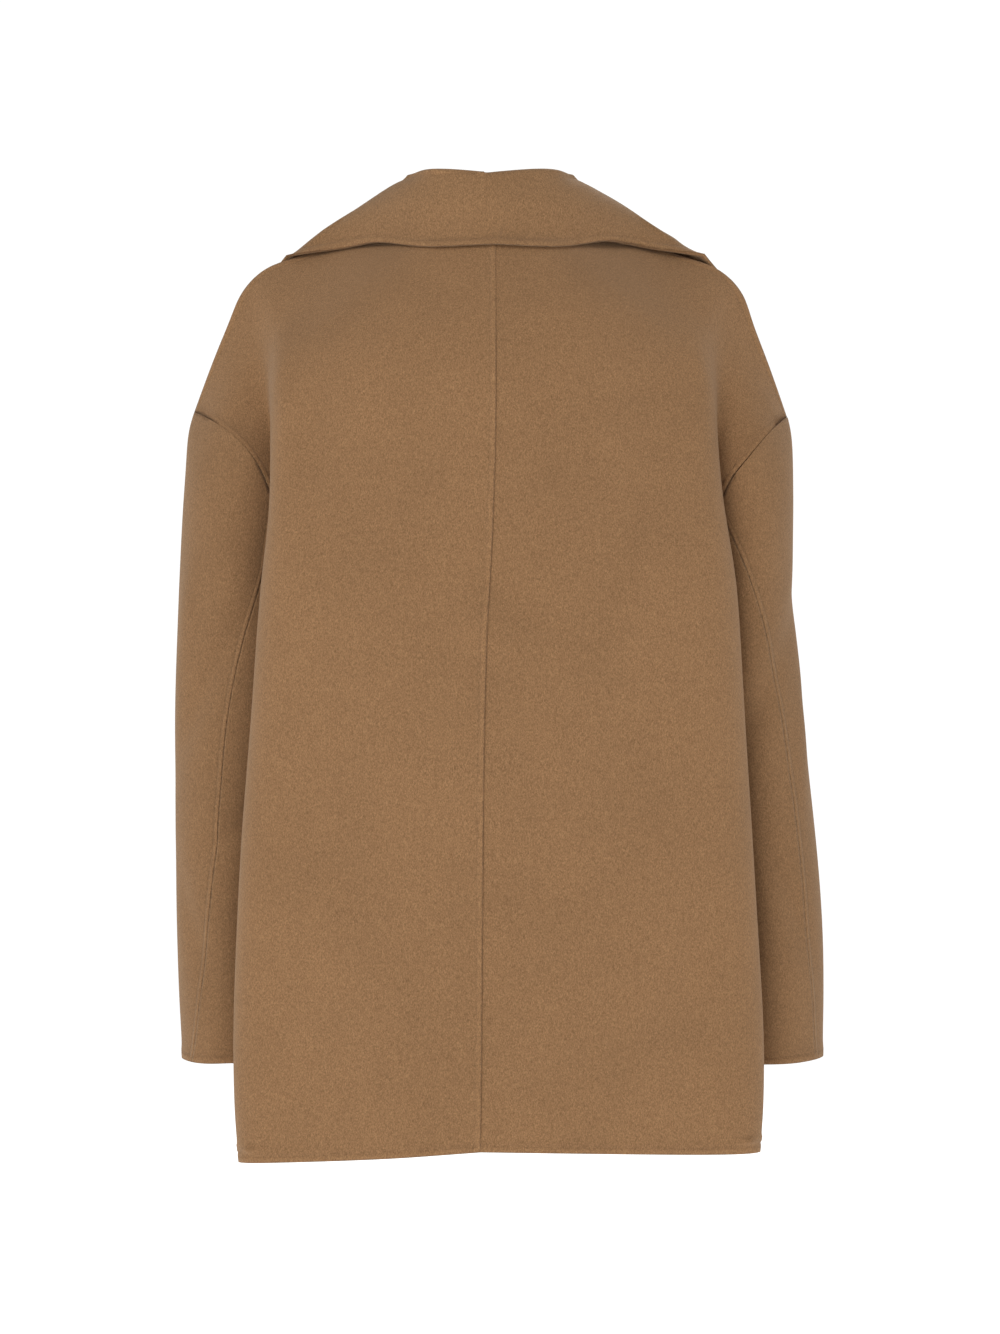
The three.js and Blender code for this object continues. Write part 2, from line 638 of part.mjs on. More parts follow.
// A dished button on its thread shank, sewn to the over layer.
function buttonGeometry() {
  const outline = [[0, 0], [shankRadius, 0], [shankRadius, shankHeight],
    [buttonRadius - rimWidth / 2, shankHeight], [buttonRadius, shankHeight + buttonThick / 2],
    [buttonRadius - rimWidth / 3, shankHeight + buttonThick],
    [buttonRadius - rimWidth, shankHeight + buttonThick],
    [buttonRadius - rimWidth - dishDepth, shankHeight + buttonThick - dishDepth],
    [0, shankHeight + buttonThick - dishDepth]];
  return new THREE.LatheGeometry(outline.map(([r, h]) => new THREE.Vector2(r, h)), buttonSides);
}

// Where a line straight back through the coat first meets the over front, and which way it faces.
function seatOn(cloth, x, z) {
  const line = new THREE.Raycaster(point(x, -coatDepth, z), point(0, 1, 0));
  cloth.material.side = THREE.DoubleSide;
  const [hit] = line.intersectObject(cloth);
  cloth.material.side = THREE.FrontSide;
  return { foot: hit.point, out: hit.face.normal.clone() };
}

const overFront = coat.getObjectByName('front_right');
let buttonNumber = 0;
for (const z of buttonHeights) {
  for (const x of [-buttonColumn, buttonColumn]) {
    buttonNumber += 1;
    const { foot, out } = seatOn(overFront, x, z);
    const geometry = buttonGeometry();
    geometry.applyQuaternion(new THREE.Quaternion().setFromUnitVectors(point(0, 1, 0), out));
    const seat = foot.addScaledVector(out, buttonGap);
    geometry.translate(seat.x, seat.y, seat.z);
    coat.add(mesh(`button_${buttonNumber}`, geometry, shades.button, { roughness: 0.45, metalness: 0 }));
  }
}

export default coat;
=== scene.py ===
import math
import bmesh
import bpy
import numpy as np
from mathutils import Matrix, Vector
from mathutils.bvhtree import BVHTree
from mathutils.kdtree import KDTree


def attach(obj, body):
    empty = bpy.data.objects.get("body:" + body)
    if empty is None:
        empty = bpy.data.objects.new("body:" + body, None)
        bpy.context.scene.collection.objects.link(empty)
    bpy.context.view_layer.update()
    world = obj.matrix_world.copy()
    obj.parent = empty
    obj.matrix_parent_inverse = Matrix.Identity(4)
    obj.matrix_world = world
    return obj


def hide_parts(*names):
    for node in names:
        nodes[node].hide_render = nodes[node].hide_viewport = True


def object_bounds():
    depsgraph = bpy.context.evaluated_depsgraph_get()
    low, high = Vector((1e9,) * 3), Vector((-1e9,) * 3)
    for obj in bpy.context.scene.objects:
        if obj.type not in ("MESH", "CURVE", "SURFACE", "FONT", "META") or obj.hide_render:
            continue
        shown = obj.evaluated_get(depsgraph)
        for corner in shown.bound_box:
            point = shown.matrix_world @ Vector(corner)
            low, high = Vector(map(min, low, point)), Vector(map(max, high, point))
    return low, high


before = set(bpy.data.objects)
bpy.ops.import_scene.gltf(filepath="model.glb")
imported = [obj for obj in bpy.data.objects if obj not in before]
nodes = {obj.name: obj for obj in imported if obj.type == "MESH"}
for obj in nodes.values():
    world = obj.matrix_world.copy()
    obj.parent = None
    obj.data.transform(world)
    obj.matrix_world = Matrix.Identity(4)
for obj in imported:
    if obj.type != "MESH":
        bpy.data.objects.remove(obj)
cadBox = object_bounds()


# Small helpers for selecting and finishing

def pickNothing():
    if bpy.context.object and bpy.context.object.mode != "OBJECT":
        bpy.ops.object.mode_set(mode="OBJECT")
    bpy.ops.object.select_all(action="DESELECT")


def pickOnly(piece):
    pickNothing()
    piece.hide_set(False)
    piece.select_set(True)
    bpy.context.view_layer.objects.active = piece


def copyNode(nodeName, pieceName):
    # a CAD node's mesh on a new object; its loose triangles are merged
    source = nodes[nodeName]
    piece = bpy.data.objects.new(pieceName, source.data.copy())
    bpy.context.scene.collection.objects.link(piece)
    piece.matrix_world = source.matrix_world.copy()
    piece.data.transform(piece.matrix_world)
    piece.matrix_world = Matrix.Identity(4)
    pickOnly(piece)
    bpy.ops.object.mode_set(mode="EDIT")
    bpy.ops.mesh.select_all(action="SELECT")
    bpy.ops.mesh.remove_doubles(threshold=clothChoices["merge"])
    bpy.ops.mesh.tris_convert_to_quads(face_threshold=clothChoices["flatJoin"],
                                       shape_threshold=clothChoices["flatJoin"])
    bpy.ops.object.mode_set(mode="OBJECT")
    return piece


def readPoints(piece):
    points = np.empty(len(piece.data.vertices) * 3)
    piece.data.vertices.foreach_get("co", points)
    return points.reshape(-1, 3)


def writePoints(piece, points):
    piece.data.vertices.foreach_set("co", points.ravel())
    piece.data.update()


def readNormals(piece):
    normals = np.empty(len(piece.data.vertices) * 3)
    piece.data.vertex_normals.foreach_get("vector", normals)
    return normals.reshape(-1, 3)


def ease(share):
    return share * share * (3 - 2 * share)


def setPointValue(piece, name, values):
    layer = piece.data.attributes.new(name, "FLOAT", "POINT")
    layer.data.foreach_set("value", np.asarray(values, dtype=np.float32))


# Cloth panels: each CAD sheet is smoothed, with its cut edges kept crisp

clothChoices = {
    "smoothing": 3,             # subdivision levels on each sheet
    "narrow": 0.0072,           # strips thinner than this are rims or tight bends
    "rimLength": 0.0045,        # the cloth's own thickness, roughly
    "sharp": math.radians(22),
    "square": math.radians(74),
    "seamReach": 0.0019,        # another piece this near is sewn on here
    "seamStep": 0.0015,         # spacing of the points measured along a seam
    "seamGap": 0.0007,          # neighbours this near meet half-way
    "merge": 0.00001,
    "flatJoin": math.radians(60),
    "bend": (math.radians(35), math.radians(80)),
    "shadeAngle": math.radians(50),
}


def creaseRims(piece):
    # the cloth's cut edges stay where they are; rolls and bends stay round
    mesh = bmesh.new()
    mesh.from_mesh(piece.data)
    crease = mesh.edges.layers.float.new("crease_edge")
    rims = []

    def isNarrow(face):
        return min(edge.calc_length() for edge in face.edges) < clothChoices["narrow"]

    def acrossStrip(face, edge):
        for other in face.edges:
            if not set(other.verts) & set(edge.verts):
                beyond = [f for f in other.link_faces if f is not face]
                return beyond[0] if beyond else None
        return None

    for edge in mesh.edges:
        if len(edge.link_faces) != 2 or edge.calc_face_angle(0) < clothChoices["sharp"]:
            continue
        if edge.calc_length() < clothChoices["rimLength"]:
            edge[crease] = 1
            continue
        thin = [face for face in edge.link_faces if isNarrow(face)]
        if not thin:
            continue
        if len(thin) == 2 and edge.calc_face_angle(0) < clothChoices["square"]:
            continue
        if len(thin) == 1:
            beyond = acrossStrip(thin[0], edge)
            if beyond is not None and isNarrow(beyond) and isBend(thin[0], beyond):
                continue
        edge[crease] = 1
        rims.append([vert.co.copy() for vert in edge.verts])
    mesh.to_mesh(piece.data)
    mesh.free()
    return rims


def isBend(first, second):
    least, most = clothChoices["bend"]
    return least < first.normal.angle(second.normal, 0) < most


def smoothSheet(piece):
    pickOnly(piece)
    finer = piece.modifiers.new("finer", "SUBSURF")
    finer.levels = finer.render_levels = clothChoices["smoothing"]
    finer.use_limit_surface = True
    finer.boundary_smooth = "PRESERVE_CORNERS"
    bpy.ops.object.modifier_apply(modifier="finer")
    bpy.ops.object.shade_smooth_by_angle(angle=clothChoices["shadeAngle"])


# Which piece's edge lies on top at each seam. "free" stands for a hem, cuff or front edge

onTop = {
    "back_left": ["back_right", "front_left", "sleeve_left_top", "sleeve_left_under", "free"],
    "back_right": ["front_right", "sleeve_right_top", "sleeve_right_under", "free"],
    "front_left": ["sleeve_left_top", "sleeve_left_under", "free"],
    "front_right": ["sleeve_right_top", "sleeve_right_under", "free"],
    "sleeve_left_top": ["sleeve_left_under", "free"],
    "sleeve_left_under": ["free"],
    "sleeve_right_top": ["sleeve_right_under", "free"],
    "sleeve_right_under": ["free"],
    "collar": ["free"],
}


def surfaceOf(piece):
    mesh = bmesh.new()
    mesh.from_mesh(piece.data)
    tree = BVHTree.FromBMesh(mesh)
    mesh.free()
    return tree


def besideEdge(point, nodeName):
    # the other cloth piece sewn on at this point of an edge, or "free"
    for otherName, tree in cutSurfaces.items():
        if otherName != nodeName and tree.find_nearest(point, clothChoices["seamReach"])[0]:
            return otherName
    return "free"


def measureSeams(piece, nodeName, rims):
    # distance of every point of the cloth from its seams and from its free edges
    seams, frees = [], []
    for start, end in rims:
        beside = besideEdge((start + end) / 2, nodeName)
        if beside in onTop[nodeName]:
            steps = max(2, int((end - start).length / clothChoices["seamStep"]))
            chain = frees if beside == "free" else seams
            chain += [start.lerp(end, k / steps) for k in range(steps + 1)]
    points = readPoints(piece)
    for name, samples in (("seamDistance", seams), ("edgeDistance", frees)):
        if not samples:
            setPointValue(piece, name, np.full(len(points), 1.0))
            continue
        tree = KDTree(len(samples))
        for index, sample in enumerate(samples):
            tree.insert(sample, index)
        tree.balance()
        setPointValue(piece, name, [tree.find(place)[2] for place in points])


def closeSeams(pieces):
    # neighbours meet half-way across the seam gap
    trees = {name: surfaceOf(piece) for name, piece in pieces.items()}
    for name, piece in pieces.items():
        points = readPoints(piece)
        for index, point in enumerate(points):
            for otherName, tree in trees.items():
                if otherName == name:
                    continue
                near, _, _, gap = tree.find_nearest(Vector(point), clothChoices["seamGap"])
                if near is not None:
                    points[index] = point + (np.array(near) - point) * 0.5
                    break
        writePoints(piece, points)


# Soft folds. Each is a trough (or a ridge, if its depth is below zero) at a place
# seen from behind or in front, running at a tilt from level.

torsoFolds = [
    {"face": 1, "x": 0.100, "z": -0.120, "tilt": 8, "length": 0.160, "width": 0.050, "depth": -0.0050},
    {"face": 1, "x": -0.100, "z": -0.105, "tilt": -10, "length": 0.150, "width": 0.045, "depth": -0.0050},
    {"face": 1, "x": 0.130, "z": -0.245, "tilt": 10, "length": 0.150, "width": 0.055, "depth": 0.0050},
    {"face": 1, "x": -0.120, "z": -0.225, "tilt": -12, "length": 0.160, "width": 0.055, "depth": 0.0050},
    {"face": 1, "x": -0.012, "z": -0.306, "tilt": -42, "length": 0.075, "width": 0.017, "depth": 0.0030},
    {"face": 1, "x": -0.010, "z": -0.345, "tilt": -44, "length": 0.070, "width": 0.016, "depth": -0.0026},
    {"face": 1, "x": 0.030, "z": -0.352, "tilt": -35, "length": 0.040, "width": 0.013, "depth": 0.0016},
    {"face": 1, "x": 0.048, "z": -0.665, "tilt": 86, "length": 0.085, "width": 0.018, "depth": 0.0030},
    {"face": 1, "x": 0.086, "z": -0.640, "tilt": 88, "length": 0.120, "width": 0.024, "depth": -0.0022},
    {"face": 1, "x": -0.050, "z": -0.538, "tilt": 4, "length": 0.055, "width": 0.016, "depth": 0.0018},
    {"face": 1, "x": -0.046, "z": -0.574, "tilt": 10, "length": 0.050, "width": 0.020, "depth": -0.0014},
    {"face": 1, "x": 0.138, "z": -0.190, "tilt": 78, "length": 0.090, "width": 0.020, "depth": 0.0022},
    {"face": 1, "x": -0.120, "z": -0.160, "tilt": 100, "length": 0.080, "width": 0.020, "depth": 0.0020},
    {"face": 1, "x": 0.187, "z": -0.128, "tilt": 90, "length": 0.066, "width": 0.011, "depth": 0.0100},
    {"face": 1, "x": 0.163, "z": -0.128, "tilt": 90, "length": 0.070, "width": 0.010, "depth": -0.0022},
    {"face": 1, "x": -0.193, "z": -0.130, "tilt": 102, "length": 0.064, "width": 0.012, "depth": 0.0090},
    {"face": 1, "x": -0.166, "z": -0.130, "tilt": 102, "length": 0.070, "width": 0.010, "depth": -0.0020},
    {"face": 1, "x": 0.045, "z": -0.104, "tilt": 12, "length": 0.060, "width": 0.020, "depth": -0.0022},
    {"face": 1, "x": -0.110, "z": -0.420, "tilt": 84, "length": 0.190, "width": 0.034, "depth": 0.0024},
    {"face": 1, "x": 0.120, "z": -0.470, "tilt": 93, "length": 0.200, "width": 0.036, "depth": 0.0022},
    {"face": 1, "x": -0.150, "z": -0.620, "tilt": 80, "length": 0.110, "width": 0.022, "depth": 0.0026},
    {"face": -1, "x": 0.118, "z": -0.400, "tilt": 84, "length": 0.150, "width": 0.024, "depth": 0.0030},
    {"face": -1, "x": -0.122, "z": -0.430, "tilt": 97, "length": 0.170, "width": 0.026, "depth": 0.0030},
    {"face": -1, "x": -0.100, "z": -0.640, "tilt": 84, "length": 0.100, "width": 0.020, "depth": 0.0026},
    {"face": -1, "x": 0.112, "z": -0.650, "tilt": 95, "length": 0.090, "width": 0.018, "depth": 0.0024},
]

sleeveFolds = [
    {"side": 1, "turn": 120, "z": -0.58, "lean": 0, "length": 0.240, "width": 0.024, "depth": 0.0110},
    {"side": -1, "turn": 120, "z": -0.58, "lean": 0, "length": 0.230, "width": 0.022, "depth": 0.0085},
    {"side": 1, "turn": 62, "z": -0.38, "lean": 30, "length": 0.110, "width": 0.013, "depth": 0.0036},
    {"side": 1, "turn": 38, "z": -0.33, "lean": 10, "length": 0.130, "width": 0.014, "depth": -0.0030},
    {"side": 1, "turn": 78, "z": -0.50, "lean": 55, "length": 0.070, "width": 0.011, "depth": 0.0030},
    {"side": 1, "turn": 40, "z": -0.57, "lean": -20, "length": 0.090, "width": 0.013, "depth": 0.0024},
    {"side": 1, "turn": -60, "z": -0.42, "lean": -35, "length": 0.100, "width": 0.014, "depth": 0.0032},
    {"side": 1, "turn": 200, "z": -0.44, "lean": 30, "length": 0.080, "width": 0.012, "depth": 0.0022},
    {"side": -1, "turn": 70, "z": -0.36, "lean": -28, "length": 0.120, "width": 0.014, "depth": 0.0036},
    {"side": -1, "turn": 30, "z": -0.41, "lean": -8, "length": 0.120, "width": 0.013, "depth": -0.0030},
    {"side": -1, "turn": 58, "z": -0.55, "lean": 25, "length": 0.100, "width": 0.013, "depth": 0.0028},
    {"side": -1, "turn": -55, "z": -0.45, "lean": 35, "length": 0.100, "width": 0.014, "depth": 0.0032},
    {"side": -1, "turn": 205, "z": -0.47, "lean": -30, "length": 0.080, "width": 0.012, "depth": 0.0022},
]
sleeveMiddle = {1: (0.201, -0.003), -1: (-0.214, -0.003)}
foldReach = {
    "faceStart": 0.035, "faceFade": 0.03,   # folds show on the back or front from this far out
    "sideways": 0.35,                       # how much a torso fold moves to the side
    "sleeveTop": -0.25, "sleeveFade": 0.06,
}


def softFold(along, across, fold):
    fade = ease(np.clip(1 - np.abs(along) / fold["length"], 0, 1))
    return -fold["depth"] * fade * np.exp(-(across / fold["width"]) ** 2)


def foldTorso(piece):
    # pushes both faces of the cloth in or out together, so its thickness stays
    points = readPoints(piece)
    lift = np.zeros(len(points))
    for fold in torsoFolds:
        turn = math.radians(fold["tilt"])
        dx = -(points[:, 0] - fold["x"])
        dz = points[:, 2] - fold["z"]
        along = dx * math.cos(turn) + dz * math.sin(turn)
        across = -dx * math.sin(turn) + dz * math.cos(turn)
        onFace = np.clip((points[:, 1] * fold["face"] - foldReach["faceStart"]) / foldReach["faceFade"], 0, 1)
        lift += softFold(along, across, fold) * onFace
    outward = points * [1.0, 1.0, 0.0]
    outward[:, 0] *= foldReach["sideways"]
    outward /= np.maximum(np.linalg.norm(outward, axis=1), 1e-6)[:, None]
    writePoints(piece, points + outward * lift[:, None])


# How the cloth settles: each row moves it softly at a place by so much, over so wide a spread.
# Sheets that meet there move together, so their seams stay shut

settlings = [
    {"sheets": "all", "at": (0.205, 0.000, -0.058), "spread": (0.050, 0.20, 0.022),
     "push": (0.0065, 0, 0.0008)},
    {"sheets": "all", "at": (-0.205, 0.000, -0.058), "spread": (0.050, 0.20, 0.023),
     "push": (-0.0085, 0, 0.0008)},
    {"sheets": "sleeve", "at": (0.240, 0.000, -0.174), "spread": (0.030, 0.04, 0.028),
     "push": (0.0040, 0, 0.0021)},
    {"sheets": "sleeve", "at": (-0.240, 0.000, -0.174), "spread": (0.030, 0.04, 0.028),
     "push": (-0.0034, 0, 0.0021)},
    {"sheets": "sleeve", "at": (0.235, 0.010, -0.675), "spread": (0.030, 0.10, 0.040),
     "push": (0, 0, -0.0052)},
    {"sheets": "sleeve", "at": (-0.245, 0.010, -0.675), "spread": (0.035, 0.10, 0.040),
     "push": (0, 0, -0.0030)},
    {"sheets": "back", "at": (0.2000, 0.073, -0.7413), "spread": (0.008, 0.012, 0.0026),
     "push": (-0.0022, 0, 0)},
    {"sheets": "back", "at": (-0.2155, 0.073, -0.7340), "spread": (0.008, 0.012, 0.0026),
     "push": (0.0024, 0, 0)},
    {"sheets": "collar", "at": (0.064, 0.020, 0.027), "spread": (0.010, 0.06, 0.007),
     "push": (-0.0020, 0, -0.0012)},
    {"sheets": "collar", "at": (-0.066, 0.020, 0.027), "spread": (0.010, 0.06, 0.007),
     "push": (0.0010, 0, -0.0012)},
    {"sheets": "collar", "at": (0.112, 0.000, 0.006), "spread": (0.036, 0.06, 0.022),
     "push": (-0.0026, 0, -0.0018)},
    {"sheets": "collar", "at": (-0.126, 0.000, -0.008), "spread": (0.032, 0.06, 0.020),
     "push": (0.0018, 0, -0.0014)},
]

collarChoices = {
    "middle": 0.0040,                       # where the fall comes to a point over the centre back
    "point": 0.0021, "growth": 0.030,       # how far it stands out, and how much more lower down
    "lifts": [(0.097, 0.0040), (-0.102, 0.0050), (0.0, 0.0020)],
    "liftWidth": 0.026,
    "restGap": 0.0012, "restReach": 0.0060,
    "restTop": 0.006, "restHeight": 0.040,
    "pointWidth": 0.0012, "pointDepth": 0.070,      # where the point is looked for
    "fallStart": 0.005, "fallFade": 0.03,           # the fall begins this far behind the neck
    "liftTop": -0.010, "liftFade": 0.022,
    "search": 0.040, "facing": -0.5, "press": -0.004, "leastLevel": 0.5,
    "neighbours": 12, "neighbourReach": 0.0055, "neighbourSoft": 0.002,
    "restSide": 0.150, "restSideFade": 0.030,
}


def settle(piece, part):
    points = readPoints(piece)
    for settling in settlings:
        if settling["sheets"] in ("all", part):
            away = (points - settling["at"]) / settling["spread"]
            points += np.exp(-(away ** 2).sum(axis=1))[:, None] * settling["push"]
    writePoints(piece, points)


def dropPoint(piece):
    # the fall comes to a sharp point over the centre back, and this takes it off the coarse sheet
    points = readPoints(piece)
    beside = np.abs(points[:, 0] - collarChoices["middle"])
    point = (beside < collarChoices["pointWidth"]) & (points[:, 1] > collarChoices["pointDepth"])
    points[point, 1] -= collarChoices["point"] - collarChoices["growth"] * points[point, 2]
    writePoints(piece, points)


def liftCollar(piece):
    # lifts the edge of the fall over the shoulder blades
    points = readPoints(piece)
    size = collarChoices
    fall = np.clip((points[:, 1] - size["fallStart"]) / size["fallFade"], 0, 1)
    fall = fall * np.clip((size["liftTop"] - points[:, 2]) / size["liftFade"], 0, 1)
    for place, rise in size["lifts"]:
        points[:, 2] += rise * fall * np.exp(-((points[:, 0] - place) / size["liftWidth"]) ** 2)
    writePoints(piece, points)


def restCollar(piece, under):
    # lets the edge of the fall down on to the yoke, both its faces together
    size = collarChoices
    points, normals = readPoints(piece), readNormals(piece)
    trees = [surfaceOf(other) for other in under]
    moves, inner = {}, []
    for index in np.flatnonzero((points[:, 1] > size["fallStart"]) & (points[:, 2] < 0)):
        point = Vector(points[index])
        found = [tree.find_nearest(point, size["search"]) for tree in trees]
        found = [hit for hit in found if hit[0] is not None]
        if not found:
            continue
        near, outward, _, _ = min(found, key=lambda hit: hit[3])
        if Vector(normals[index]).dot(outward) < size["facing"]:
            gap = (point - near).dot(outward) - size["restGap"]
            gap = min(max(gap, size["press"]), size["restReach"])
            level = np.array((outward.x, outward.y, 0.0))
            inner.append(index)
            moves[index] = -gap * level / max(level.dot(level), size["leastLevel"])
    tree = KDTree(len(inner))
    for index in inner:
        tree.insert(points[index], index)
    tree.balance()
    top, height, soft = size["restTop"], size["restHeight"], size["neighbourSoft"]
    for index in np.flatnonzero((points[:, 1] > 0) & (points[:, 2] < top)):
        found = tree.find_n(points[index], size["neighbours"])
        near = [(spot, gap) for _, spot, gap in found if gap < size["neighbourReach"]]
        if near:
            share = ease(min((top - points[index][2]) / height, 1))
            share *= min(max((size["restSide"] - abs(points[index][0])) / size["restSideFade"], 0), 1)
            move = sum(moves[spot] / (gap + soft) for spot, gap in near)
            points[index] += move / sum(1 / (gap + soft) for _, gap in near) * share
    writePoints(piece, points)


def foldSleeve(piece, side):
    points = readPoints(piece)
    middleX, middleY = sleeveMiddle[side]
    dx = (points[:, 0] - middleX) * side
    dy = points[:, 1] - middleY
    reach = np.maximum(np.hypot(dx, dy), 1e-4)
    turn = np.arctan2(dy, dx)
    lift = np.zeros(len(points))
    for fold in sleeveFolds:
        if fold["side"] != side:
            continue
        away = (turn - math.radians(fold["turn"]) + math.pi) % (2 * math.pi) - math.pi
        lean = math.radians(fold["lean"])
        dz = points[:, 2] - fold["z"]
        along = dz * math.cos(lean) + away * reach * math.sin(lean)
        across = -dz * math.sin(lean) + away * reach * math.cos(lean)
        lift += softFold(along, across, fold)
    lift *= np.clip((foldReach["sleeveTop"] - points[:, 2]) / foldReach["sleeveFade"], 0, 1)
    outward = np.stack([dx / reach * side, dy / reach, np.zeros(len(points))], axis=1)
    writePoints(piece, points + outward * lift[:, None])


# Materials

def newGroup(name, inputs, outputs):
    group = bpy.data.node_groups.new(name, "ShaderNodeTree")
    for socketName, kind, value in inputs:
        socket = group.interface.new_socket(socketName, in_out="INPUT", socket_type=kind)
        if value is not None:
            socket.default_value = value
    for socketName, kind in outputs:
        group.interface.new_socket(socketName, in_out="OUTPUT", socket_type=kind)
    entry = group.nodes.new("NodeGroupInput")
    leave = group.nodes.new("NodeGroupOutput")
    return group, entry, leave


def addNode(tree, kind, links=None, **settings):
    node = tree.nodes.new(kind)
    for key, value in settings.items():
        setattr(node, key, value)
    for socketName, source in (links or {}).items():
        target = node.inputs[socketName]
        if hasattr(source, "is_output"):
            tree.links.new(source, target)
        else:
            target.default_value = source
    return node


def mathNode(tree, operation, first, second=0.0, third=None):
    links = {0: first, 1: second}
    if third is not None:
        links[2] = third
    return addNode(tree, "ShaderNodeMath", links, operation=operation).outputs[0]


def mixColor(tree, factor, first, second, blend="MIX"):
    node = addNode(tree, "ShaderNodeMix", data_type="RGBA", blend_type=blend)
    for index, source in ((0, factor), (6, first), (7, second)):
        if hasattr(source, "is_output"):
            tree.links.new(source, node.inputs[index])
        else:
            node.inputs[index].default_value = source
    return node.outputs[2]


def rangeNode(tree, value, low, high, toLow=0.0, toHigh=1.0, smooth=True):
    return addNode(tree, "ShaderNodeMapRange", {"Value": value, "From Min": low, "From Max": high,
                   "To Min": toLow, "To Max": toHigh},
                   interpolation_type="SMOOTHSTEP" if smooth else "LINEAR").outputs["Result"]


def noiseNode(tree, vector, scale, detail=3.0, rough=0.55, distort=0.0):
    return addNode(tree, "ShaderNodeTexNoise", {"Vector": vector, "Scale": scale, "Detail": detail,
                   "Roughness": rough, "Distortion": distort}).outputs["Fac"]


def napGroup():
    # brushed wool: fine upright fibres, small curls, and slow changes of tone
    group, entry, leave = newGroup("brushedNap", [
        ("Position", "NodeSocketVector", None), ("Fibre Size", "NodeSocketFloat", 0.0006)],
        [("Fibre", "NodeSocketFloat"), ("Curl", "NodeSocketFloat"), ("Patch", "NodeSocketFloat"),
         ("Height", "NodeSocketFloat")])
    place = entry.outputs["Position"]
    perFibre = mathNode(group, "DIVIDE", 1.0, entry.outputs["Fibre Size"])
    upright = addNode(group, "ShaderNodeMapping", {"Vector": place, "Scale": (1.0, 1.0, 0.45)}).outputs[0]
    slanted = addNode(group, "ShaderNodeMapping", {"Vector": place, "Rotation": (0.35, 0.5, 0.2),
                      "Scale": (1.0, 1.0, 0.6)}).outputs[0]
    fibre = noiseNode(group, upright, perFibre, 3.0, 0.6, 0.3)
    curl = noiseNode(group, slanted, mathNode(group, "MULTIPLY", perFibre, 0.5), 3.0, 0.7, 0.6)
    patch = noiseNode(group, place, 14.0, 4.0, 0.6, 0.3)
    height = mathNode(group, "ADD", mathNode(group, "MULTIPLY", fibre, 0.45),
                      mathNode(group, "MULTIPLY", curl, 0.65))
    for name, source in (("Fibre", fibre), ("Curl", curl), ("Patch", patch), ("Height", height)):
        group.links.new(source, leave.inputs[name])
    return group


def bandGroup():
    # felled seam or turned edge: a low soft ridge beside the edge, ending in a faint groove. It also gives
    # how strong the painted shade is in that groove and at the very edge, and the band that the colour
    # lightens as a painted highlight
    group, entry, leave = newGroup("felledBand", [
        ("Distance", "NodeSocketFloat", 1.0), ("Width", "NodeSocketFloat", 0.005),
        ("Wobble", "NodeSocketFloat", 0.5)],
        [("Height", "NodeSocketFloat"), ("Groove Shade", "NodeSocketFloat"), ("Band", "NodeSocketFloat")])
    swing = mathNode(group, "SUBTRACT", entry.outputs["Wobble"], 0.5)
    wobble = mathNode(group, "MULTIPLY", swing, 0.0012)
    reach = mathNode(group, "ADD", entry.outputs["Distance"], wobble)
    width = entry.outputs["Width"]
    outer = mathNode(group, "MULTIPLY", width, 1.35)
    band = rangeNode(group, reach, mathNode(group, "MULTIPLY", width, 0.65), outer, 1.0, 0.0)
    toGroove = mathNode(group, "ABSOLUTE", mathNode(group, "SUBTRACT", reach, outer))
    groove = rangeNode(group, toGroove, 0.0, 0.0013, 1.0, 0.0)
    edge = rangeNode(group, reach, 0.0, 0.0011, 1.0, 0.0)
    height = mathNode(group, "SUBTRACT", band, mathNode(group, "MULTIPLY", groove, 0.35))
    height = mathNode(group, "SUBTRACT", height, mathNode(group, "MULTIPLY", edge, 0.6))
    shade = mathNode(group, "MAXIMUM", mathNode(group, "MULTIPLY", groove, 0.45), edge)
    for name, source in (("Height", height), ("Groove Shade", shade), ("Band", band)):
        group.links.new(source, leave.inputs[name])
    return group


# line: how far the painted shade in seam grooves and at cut edges darkens the colour
woolChoices = {
    "back": {"deep": (0.190, 0.100, 0.044), "light": (0.336, 0.186, 0.088),
               "seam": 0.0038, "edge": 0.0042, "line": 0.90},
    "front": {"deep": (0.190, 0.100, 0.044), "light": (0.336, 0.186, 0.088),
               "seam": 0.0034, "edge": 0.0050, "line": 0.86},
    # the sleeve wool is a darker copy of the same wool: painted shade for sleeves that sit back from the
    # light
    "sleeve": {"deep": (0.176, 0.093, 0.041), "light": (0.306, 0.170, 0.081),
               "seam": 0.0032, "edge": 0.0042, "line": 0.72},
    "collar": {"deep": (0.184, 0.098, 0.043), "light": (0.326, 0.182, 0.087),
               "seam": 0.0040, "edge": 0.0046, "line": 0.86},
}


